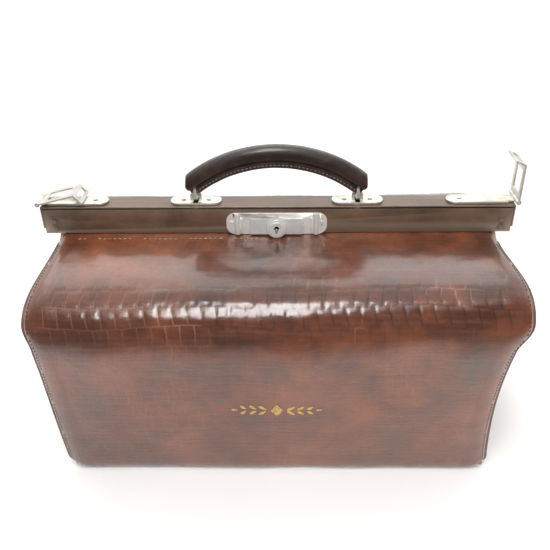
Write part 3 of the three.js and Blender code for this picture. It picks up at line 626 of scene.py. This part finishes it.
def half_length(depth, height, to_right):
    """Half the panel's length where its profile has this depth and height; the right end is pressed in."""
    flare = smoothstep((height - 0.148) / 0.030)
    below = BASE_HALF + 0.0040 * height / 0.15
    waist = np.sin(math.pi * np.clip(height / 0.178, 0, 1)) ** 0.8
    below = below + (-0.0068 if to_right else 0.0030) * waist
    low = below * (1 - flare) + FOLD_HALF * flare
    neck = NECK_HALF + (FOLD_HALF - NECK_HALF) * smoothstep((depth - 0.012) / 0.100) ** 0.8
    blend = smoothstep((height - 0.178) / 0.014)
    soft_foot = 0.0060 * np.clip(1 - height / 0.013, 0, 1) ** 2
    return low * (1 - blend) + neck * blend - soft_foot


def tile_relief(x, s, mask):
    """Pillowed scales pressed into the leather, strongest along the fold."""
    xd = x + 0.0022 * np.sin(95 * s + 0.4)
    sd = s + 0.0018 * np.sin(37 * x + 0.7)
    row = np.floor(sd / TILE_HEIGHT)
    across = np.mod(xd / TILE_WIDTH + 0.37 * row, 1)
    level = np.mod(sd / TILE_HEIGHT, 1)
    pillow = (1 - np.abs(2 * across - 1) ** 7) * (1 - np.abs(2 * level - 1) ** 9)
    return 0.00055 * mask * pillow


def softness(points):
    """Slow dents and swellings of old leather, in metres."""
    return np.array([0.0011 * noise.noise(Vector(p) * 17) + 0.0004 * noise.noise(Vector(p) * 55)
                     for p in points])


def panel(front):
    """The one piece of leather from under the base, over the fold and up to the frame."""
    side = -1 if front else 1
    rows = 151
    columns = 213
    u = np.linspace(-1, 1, columns)
    points = np.zeros((rows, columns, 3))
    normals = np.zeros((rows, columns, 3))
    cut = np.zeros((rows, columns, 3))
    for j, share in enumerate(u):
        curve, length = spline(profile(share * FOLD_HALF, front), rows)
        tangent = np.gradient(curve, axis=0)
        tangent /= np.linalg.norm(tangent, axis=1)[:, None]
        normal = np.stack([tangent[:, 1], -tangent[:, 0]], 1)
        s = np.linspace(0, length, rows)
        half = half_length(curve[:, 0], curve[:, 1], share > 0)
        inner = half - EDGE
        over = max(0.0, (abs(share) - TURN) / (1 - TURN)) * math.pi / 2
        x = np.sign(share) * (inner * min(abs(share), TURN) + (half - inner * TURN) * math.sin(over))
        drop = EDGE * (1 - math.cos(over))
        fold_at = s[np.argmax(curve[:, 0] + curve[:, 1] * 1.5)]
        near = np.exp(-((s - fold_at) / 0.019) ** 2)
        mask = 0.12 + 0.88 * near
        mask *= 1 - 0.85 * smoothstep((abs(share) - 0.93) / 0.05)
        mask *= smoothstep(s / 0.02)
        points[:, j, 0] = x
        points[:, j, 1] = side * (curve[:, 0] - normal[:, 0] * drop)
        points[:, j, 2] = curve[:, 1] - normal[:, 1] * drop
        normals[:, j, 1] = side * normal[:, 0]
        normals[:, j, 2] = normal[:, 1]
        cut[:, j] = np.stack([x, s, mask], 1)
    flat = points.reshape(-1, 3)
    settle_in = np.minimum(1, np.minimum(cut[..., 1], cut[-1, 0, 1] - cut[..., 1]) / 0.02)
    settle_in *= np.minimum(1, (1.0 - np.abs(u))[None, :] / 0.05)
    shift = softness(flat).reshape(rows, columns) * settle_in
    shift = shift + tile_relief(cut[..., 0], cut[..., 1], cut[..., 2]) * settle_in
    points = points + normals * shift[..., None]
    points[..., 2] = np.clip(points[..., 2], 0.0003, None)
    return points, normals, cut


FOLD_AXIS = {"front": (-0.117, 0.186), "rear": (0.117, 0.186)}


def bend(obj, half):
    """Works out the crosswise direction of the fold line for one half of the frame, which nothing uses, and
    bakes the piece's placement into its mesh.
    """
    y, z = FOLD_AXIS[half]
    line = Vector((0, y, z)) - PIVOT
    across = Vector((0, -line.z, line.y)) if line.y > 0 else Vector((0, line.z, -line.y))
    across.normalize()
    if across.z < 0:
        across = -across
    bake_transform(obj)


leather = {}
edge_lines = {}
for half in ("front", "rear"):
    points, normals, cut = panel(half == "front")
    leather[half] = (points, normals, cut)
    obj = sheet_piece(half + "_leather", points, cut, CROC, LINING, THICK, half == "rear")
    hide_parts(half + "_panel", half + "_shoulder")
    bend(obj, half)
    for word, column in (("left", 0), ("right", -1)):
        edge_lines[word, half] = points[:, column].copy()


def seam_top(line):
    """Index along a panel's side edge where its upright seam ends."""
    return int(np.argmax(line[:, 2] > SEAM_TOP))


def depth_at(line, z_values):
    """Depth and x of a panel's side edge at given heights below the fold."""
    top = seam_top(line)
    z, y, x = line[:top + 1, 2], line[:top + 1, 1], line[:top + 1, 0]
    return np.interp(z_values, z, y), np.interp(z_values, z, x)


WING_TOP = NECK_Z


def over_legs(y, z):
    """Share of each point of an end that lies over the frame's legs."""
    return smoothstep((z - 0.070) / 0.030) * smoothstep(1.5 - np.abs(y) / 0.042)


def end_piece(word):
    """Lower end of the bag, with its V."""
    sign = -1 if word == "left" else 1
    front, rear = edge_lines[word, "front"], edge_lines[word, "rear"]
    fold_z = min(front[seam_top(front), 2], rear[seam_top(rear), 2]) - 0.001
    columns = 97
    rows = 81
    across = np.linspace(-1, 1, columns)
    vee = PIVOT.z + (fold_z - PIVOT.z) * np.abs(across) ** 1.06
    points = np.zeros((rows, columns, 3))
    cut = np.zeros((rows, columns, 3))
    for j, a in enumerate(across):
        z = 0.0012 + (vee[j] - 0.0012) * np.linspace(0, 1, rows)
        y_front, x_front = depth_at(front, z)
        y_rear, x_rear = depth_at(rear, z)
        share = (a + 1) / 2
        y = y_front * (1 - share) + y_rear * share
        x = np.abs(x_front) * (1 - share) + np.abs(x_rear) * share
        hollow = END_HOLLOW * (1 - a * a) ** 1.3 * smoothstep(z / 0.13)
        foot = 0.006 * np.clip(1 - z / 0.012, 0, 1) ** 2
        x = x - SEAM_INSET - hollow - foot * 0.2
        x = x + np.maximum(0, LEG_CLEAR - x) * over_legs(y, z)
        points[:, j] = np.stack([sign * x, y, z], 1)
        cut[:, j] = np.stack([y, z, np.full(rows, 0.25)], 1)
    shift = softness(points.reshape(-1, 3)).reshape(rows, columns) * 1.6
    shift *= np.clip((1 - np.abs(across)) / 0.08, 0, 1)[None, :]
    shift *= 1 - over_legs(points[..., 1], points[..., 2])
    points[..., 0] += sign * shift
    return points, cut


def wing(word, half, gusset_top, across_from):
    """Upper wing between the V and one half of the frame."""
    sign = -1 if word == "left" else 1
    side = -1 if half == "front" else 1
    line = edge_lines[word, half]
    outer_edge = line[seam_top(line) - 2:]
    rows = 41
    columns = len(across_from)
    share = np.linspace(0, 1, rows)
    run = np.concatenate([[0], np.cumsum(np.linalg.norm(np.diff(outer_edge, axis=0), axis=1))])
    edge = np.stack([np.interp(share * run[-1], run, outer_edge[:, k]) for k in range(3)], 1)
    edge[:, 0] -= sign * SEAM_INSET
    points = np.zeros((rows, columns, 3))
    for j, a in enumerate(across_from):
        start = gusset_top[j]
        neck = np.array((sign * (NECK_HALF - 0.0014), side * (0.0003 + 0.0087 * a), WING_TOP - 0.0002))
        straight = start[None, :] * (1 - share)[:, None] + neck[None, :] * share[:, None]
        corner = gusset_top[-1][None, :] * (1 - share)[:, None] \
            + np.array((sign * (NECK_HALF - 0.0014), side * 0.009, WING_TOP - 0.0002))[None, :] * share[:, None]
        points[:, j] = straight + (edge - corner) * a**3
        points[:, j, 0] -= sign * 0.0035 * np.sin(math.pi * share) * 4 * a * (1 - a)
    cut = np.stack([points[..., 1], points[..., 2], np.full(points.shape[:2], 0.25)], 2)
    return points, cut


for word in ("left", "right"):
    sign = -1 if word == "left" else 1
    points, cut = end_piece(word)
    obj = sheet_piece(word + "_end", points, cut, CROC, LINING, THICK, sign < 0)
    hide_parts(word + "_gusset")
    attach(obj, "bag_body")
    middle = points.shape[1] // 2
    top_row = points[-1]
    for half in ("front", "rear"):
        if half == "front":
            run_of = top_row[middle::-1]
        else:
            run_of = top_row[middle:]
        share = np.linspace(0, 1, len(run_of))
        wing_points, wing_cut = wing(word, half, run_of, share)
        flip = (sign > 0) == (half == "front")
        obj = sheet_piece(word + "_" + half + "_wing_leather", wing_points, wing_cut,
                          CROC, LINING, WING_THICK, flip)
        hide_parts(word + "_" + half + "_wing")
        bend(obj, half)

# Piping sewn into the four upright seams and on up the ends of the shoulders.
for (word, half), line in edge_lines.items():
    sign = -1 if word == "left" else 1
    path = line[3:-3].copy()
    path[:, 0] += sign * 0.0002
    cord = tube(word + "_" + half + "_piping", path, 0.0017, PIPING)
    remember_rest(cord)
    bend(cord, half)

# Sewing beside the piping, and a worn row under the frame that survives on the left.
for half in ("front", "rear"):
    points, normals = leather[half][:2]
    for word, column in (("left", 2), ("right", -3)):
        row = stitches(f"{word}_{half}_seam_stitches", points[6:-6, column], normals[6:-6, column],
                       0.0036, 0.0024, 0.00036, SEAM_THREAD, skip=lambda i: (i * 7) % 11 == 3)
        bend(row, half)
    neck = stitches(half + "_neck_stitches", points[-6, 5:-5], normals[-6, 5:-5],
                    0.0046, 0.0031, 0.00048, THREAD,
                    skip=lambda i: (i * 5) % 9 in (2, 6) or i > 36)
    bend(neck, half)

# ---------------------------------------------------------------- ornament


def surface_point(x, height, lift):
    """A point just off the front face, found from the panel's own grid."""
    points = leather["front"][0]
    j = int(np.argmin(np.abs(points[40, :, 0] - x)))
    column = points[:100, j]
    y = np.interp(height, column[:, 2], column[:, 1])
    return Vector((x, y - lift, height))


def leaf_outline(cx, cz, length, width, angle):
    outline = []
    for k in range(16):
        t = k / 16 * 2 * math.pi
        px = length / 2 * math.cos(t)
        pz = width / 2 * math.sin(t) * (1 - 0.35 * math.cos(t))
        outline.append((cx + px * math.cos(angle) - pz * math.sin(angle),
                        cz + px * math.sin(angle) + pz * math.cos(angle)))
    return outline


def ornament():
    """A plain gilt lozenge between two sprigs, standing where an owner's mark would be."""
    centre = 0.0840
    outlines = []
    outlines.append([(0.0, centre + 0.0075), (0.0055, centre), (0.0, centre - 0.0075), (-0.0055, centre)])
    for side in (-1, 1):
        for step in range(3):
            cx = side * (0.0125 + 0.0085 * step)
            for tilt in (-1, 1):
                outlines.append(leaf_outline(cx, centre + tilt * 0.0030, 0.0085 - 0.0012 * step, 0.0030,
                                             side * tilt * 0.62))
        outlines.append(leaf_outline(side * 0.0375, centre, 0.0055, 0.0024, 0))
    vertices, faces = [], []
    for outline in outlines:
        start = len(vertices)
        count = len(outline)
        for lift in (0.0012, -0.0004):
            for px, pz in outline:
                vertices.append(surface_point(px, pz, lift * 0.28))
        faces.append(tuple(range(start, start + count)))
        faces.append(tuple(range(start + count, start + 2 * count))[::-1])
        for k in range(count):
            a, b = start + k, start + (k + 1) % count
            faces.append((a, a + count, b + count, b))
    obj = piece("gilt_ornament", vertices, faces, GILT, smooth=False)
    remember_rest(obj)
    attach(obj, "bag_body")


ornament()

# ---------------------------------------------------------------- base and inside


def rounded_slab(name, half_x, half_y, low, high, corner, soft, *materials):
    """A flat slab with rounded corners and a softened edge."""
    rings = [(low, soft), (low + soft * 0.3, soft * 0.3), (low + soft, 0.0),
             (high - soft, 0.0), (high - soft * 0.3, soft * 0.3), (high, soft)]
    per = 12
    vertices, faces = [], []
    for z, inset in rings:
        for cx, cy, start in ((1, 1, 0), (-1, 1, 90), (-1, -1, 180), (1, -1, 270)):
            for k in range(per):
                a = math.radians(start + 90 * k / (per - 1))
                r = corner - inset
                vertices.append((cx * (half_x - corner) + r * math.cos(a),
                                 cy * (half_y - corner) + r * math.sin(a), z))
    count = 4 * per
    for i in range(len(rings) - 1):
        for k in range(count):
            a, b = i * count + k, i * count + (k + 1) % count
            faces.append((a, b, b + count, a + count))
    faces.append(tuple(range(count))[::-1])
    faces.append(tuple((len(rings) - 1) * count + k for k in range(count)))
    return piece(name, vertices, faces, *materials, smooth=False)


base = rounded_slab("base_leather", 0.191, 0.0925, 0.0004, 0.0030, 0.012, 0.0008, BASE)
remember_rest(base)
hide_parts("base_panel")
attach(base, "bag_body")

board_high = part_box("base_board")[1]
pad = rounded_slab("lining_floor", board_high.x - 0.004, board_high.y - 0.004, board_high.z + 0.0003,
                   board_high.z + 0.0016, 0.006, 0.0005, LINING)
remember_rest(pad)
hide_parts("lining")
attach(pad, "bag_body")

# ---------------------------------------------------------------- handle

HANDLE_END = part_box("handle_cover")[1].x
HANDLE_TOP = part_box("handle_cover")[1].z
ROLL_RADIUS = 0.0080
DROP = 0.0120
ARC_CHORD = HANDLE_END + 0.006  # half chord of the roll's arc
ARC_RISE = 0.036
ARC_RADIUS = (ARC_CHORD**2 + ARC_RISE**2) / (2 * ARC_RISE)
ARC_SWEEP = math.asin(ARC_CHORD / ARC_RADIUS)


def handle_frame(t):
    """Centre of the roll, and the tangent and downward directions, at t from -1 to 1."""
    a = ARC_SWEEP * t
    centre = Vector((ARC_RADIUS * math.sin(a), 0, HANDLE_TOP - ROLL_RADIUS - ARC_RADIUS * (1 - math.cos(a))))
    tangent = Vector((math.cos(a), 0, -math.sin(a)))
    down = Vector((-math.sin(a), 0, -math.cos(a)))
    return centre, tangent, down


def handle_section(t):
    """Roll above, a waist, then a flat flange of stitched layers below."""
    grow = smoothstep((abs(t) - 0.78) / 0.2)
    roll = ROLL_RADIUS * (1 - 0.10 * float(grow))
    flange = 0.0039
    section = [(roll * math.cos(math.radians(q)), roll * math.sin(math.radians(q)))
               for q in np.linspace(152, 388, 27)]
    side = [(flange - 0.0006, 0.0050), (flange + 0.0004, 0.0058), (flange + 0.0013, 0.0068),
            (flange + 0.0016, 0.0082), (flange + 0.0016, DROP - 0.0012), (flange + 0.0008, DROP - 0.0001)]
    return section + side + [(0.0, DROP)] + [(-y, d) for y, d in side[::-1]]


def handle():
    end_t = math.asin((HANDLE_END - 0.0004) / ARC_RADIUS) / ARC_SWEEP
    stations = np.linspace(-end_t, end_t, 97)
    section_count = len(handle_section(0))
    vertices, faces = [], []
    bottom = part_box("handle_cover")[0].z
    for t in stations:
        centre, tangent, down = handle_frame(t)
        for y, d in handle_section(t):
            wob = 1 + 0.014 * noise.noise(Vector((t * 9, y * 160, 3.1)))
            p = centre + Vector((0, y * wob, 0)) + down * (d * wob)
            p.x = max(-HANDLE_END, min(HANDLE_END, p.x))
            p.z = max(bottom, min(HANDLE_TOP, p.z))
            p.y = max(-ROLL_RADIUS, min(ROLL_RADIUS, p.y))
            vertices.append(p)
    n = section_count
    for i in range(len(stations) - 1):
        for k in range(n):
            a, b = i * n + k, i * n + (k + 1) % n
            faces.append((a, b, b + n, a + n))
    last = (len(stations) - 1) * n
    # Ends close over a slightly domed cap.
    for base_index, direction in ((0, -1), (last, 1)):
        ring = [Vector(vertices[base_index + k]) for k in range(n)]
        middle = sum(ring, Vector()) / n
        inner = len(vertices)
        for p in ring:
            q = middle + (p - middle) * 0.86
            q.x = max(-HANDLE_END, min(HANDLE_END, q.x + direction * 0.0004))
            vertices.append(q)
        centre_index = len(vertices)
        vertices.append(middle)
        for k in range(n):
            a, b = base_index + k, base_index + (k + 1) % n
            c, d = inner + k, inner + (k + 1) % n
            quad, tri = (a, b, d, c), (c, d, centre_index)
            faces.append(quad if direction > 0 else quad[::-1])
            faces.append(tri if direction > 0 else tri[::-1])
    obj = piece("handle_leather", vertices, faces, HANDLE)
    bm = bmesh.new()
    bm.from_mesh(obj.data)
    bmesh.ops.recalc_face_normals(bm, faces=bm.faces)
    bm.to_mesh(obj.data)
    bm.free()
    obj.data.shade_smooth()
    remember_rest(obj)
    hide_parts("handle_cover")
    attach(obj, "handle")
    for word, side in (("front", -1), ("rear", 1)):
        path, outward = [], []
        for t in np.linspace(-end_t * 0.985, end_t * 0.985, 120):
            centre, tangent, down = handle_frame(t)
            path.append(centre + Vector((0, side * 0.0055, 0)) + down * 0.0090)
            outward.append(Vector((0, side, 0)))
        row = stitches("handle_" + word + "_stitches", path, outward, 0.0036, 0.0025, 0.0005, DARK_THREAD)
        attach(row, "handle")


handle()

# ---------------------------------------------------------------- metalwork


def finished(node, material, width=0.00045, segments=2, angle=38, bends=False):
    """The CAD node with its sharp edges eased, in its real finish."""
    source = nodes[node]
    obj = bpy.data.objects.new(node + "_finish", source.data.copy())
    scene.collection.objects.link(obj)
    bm = bmesh.new()
    bm.from_mesh(obj.data)
    bmesh.ops.remove_doubles(bm, verts=bm.verts, dist=1e-6)
    bmesh.ops.dissolve_limit(bm, angle_limit=math.radians(0.8), verts=bm.verts, edges=bm.edges)
    bmesh.ops.triangulate(bm, faces=bm.faces)
    bm.to_mesh(obj.data)
    bm.free()
    obj.data.materials.clear()
    obj.data.materials.append(material)
    edge = obj.modifiers.new("ease", "BEVEL")
    edge.width = width
    edge.segments = segments
    edge.limit_method = "ANGLE"
    edge.angle_limit = math.radians(angle)
    edge.use_clamp_overlap = True
    settle(obj)
    obj.data.shade_smooth()
    obj.data.set_sharp_from_angle(angle=math.radians(angle))
    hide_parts(node)
    if bends:
        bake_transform(obj)
    else:
        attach(obj, body_of[node])


for name in ("front_frame_bar", "rear_frame_bar"):
    finished(name, ENAMEL, 0.0010, 3)
for name in ("handle_left_plate", "handle_right_plate",
             "left_clip_plate", "right_clip_plate", "left_clip_loop", "right_clip_loop"):
    finished(name, NICKEL, 0.0004, 3)
for name in ("lock_plate", "lock_nozzle"):
    finished(name, LOCK_NICKEL, 0.0004, 3)
finished("lock_slide_plate", SATIN, 0.0004, 3)
for name in ("lock_left_rivet", "lock_right_rivet"):
    finished(name, LOCK_NICKEL, 0.0003, 2)
slot_of = {p["node"]: p["material_slot"] for p in frame["record"]["subparts"]}
for name in sorted(nodes):
    if slot_of[name] == "steel":
        plated_too = name.startswith("handle_") or "clip" in name
        painted = name.startswith(("front_", "rear_")) and name.endswith("_rivet")
        look = BLACK if name == "lock_bolt" else ENAMEL if painted else NICKEL if plated_too else STEEL
        finished(name, look, 0.0003, 2, bends=name == "lock_spring")
finished("lock_key_pin", BLACK, 0.0002, 2)
for name, material in (("handle_left_ring", NICKEL), ("handle_right_ring", NICKEL),
                       ("base_board", BOARD), ("handle_core", BOARD)):
    node = nodes[name]
    node.data.materials.clear()
    node.data.materials.append(material)
    node.data.shade_smooth()
    node.data.set_sharp_from_angle(angle=math.radians(38))

# ---------------------------------------------------------------- floor


def floor():
    size = 6.0
    data = bpy.data.meshes.new("floor")
    corners = [(-size, -size, 0), (size, -size, 0), (size, size, 0), (-size, size, 0)]
    data.from_pydata(corners, [], [(0, 1, 2, 3)])
    g = Graph("floor_white")
    grain = g.noise(g.place(), 3, 3, 0.5)
    paper = g.ramp(grain, (0.3, (0.90, 0.90, 0.90)), (0.7, (0.93, 0.93, 0.93)))
    # Painted shade: the floor in front of the bag is painted dark, standing in for the darker room on the
    # camera's side in the leather's reflections.
    painted_dark_front = g.range(g.axes(g.place())[1], -0.23, -0.44)
    g.set(Base_Color=g.mix(painted_dark_front, paper, (0.06, 0.055, 0.05)), Roughness=0.7)
    # Painted light: the floor glows more the farther it lies behind the bag, brightening the backdrop though it
    # is no lamp.
    painted_far_glow = g.range(g.axes(g.place())[1], 0.4, 1.6, 0.0, 0.45)
    g.set(Emission_Color=(1.0, 1.0, 1.0, 1.0), Emission_Strength=painted_far_glow)
    data.materials.append(g.material)
    obj = bpy.data.objects.new("floor", data)
    scene.collection.objects.link(obj)


floor()
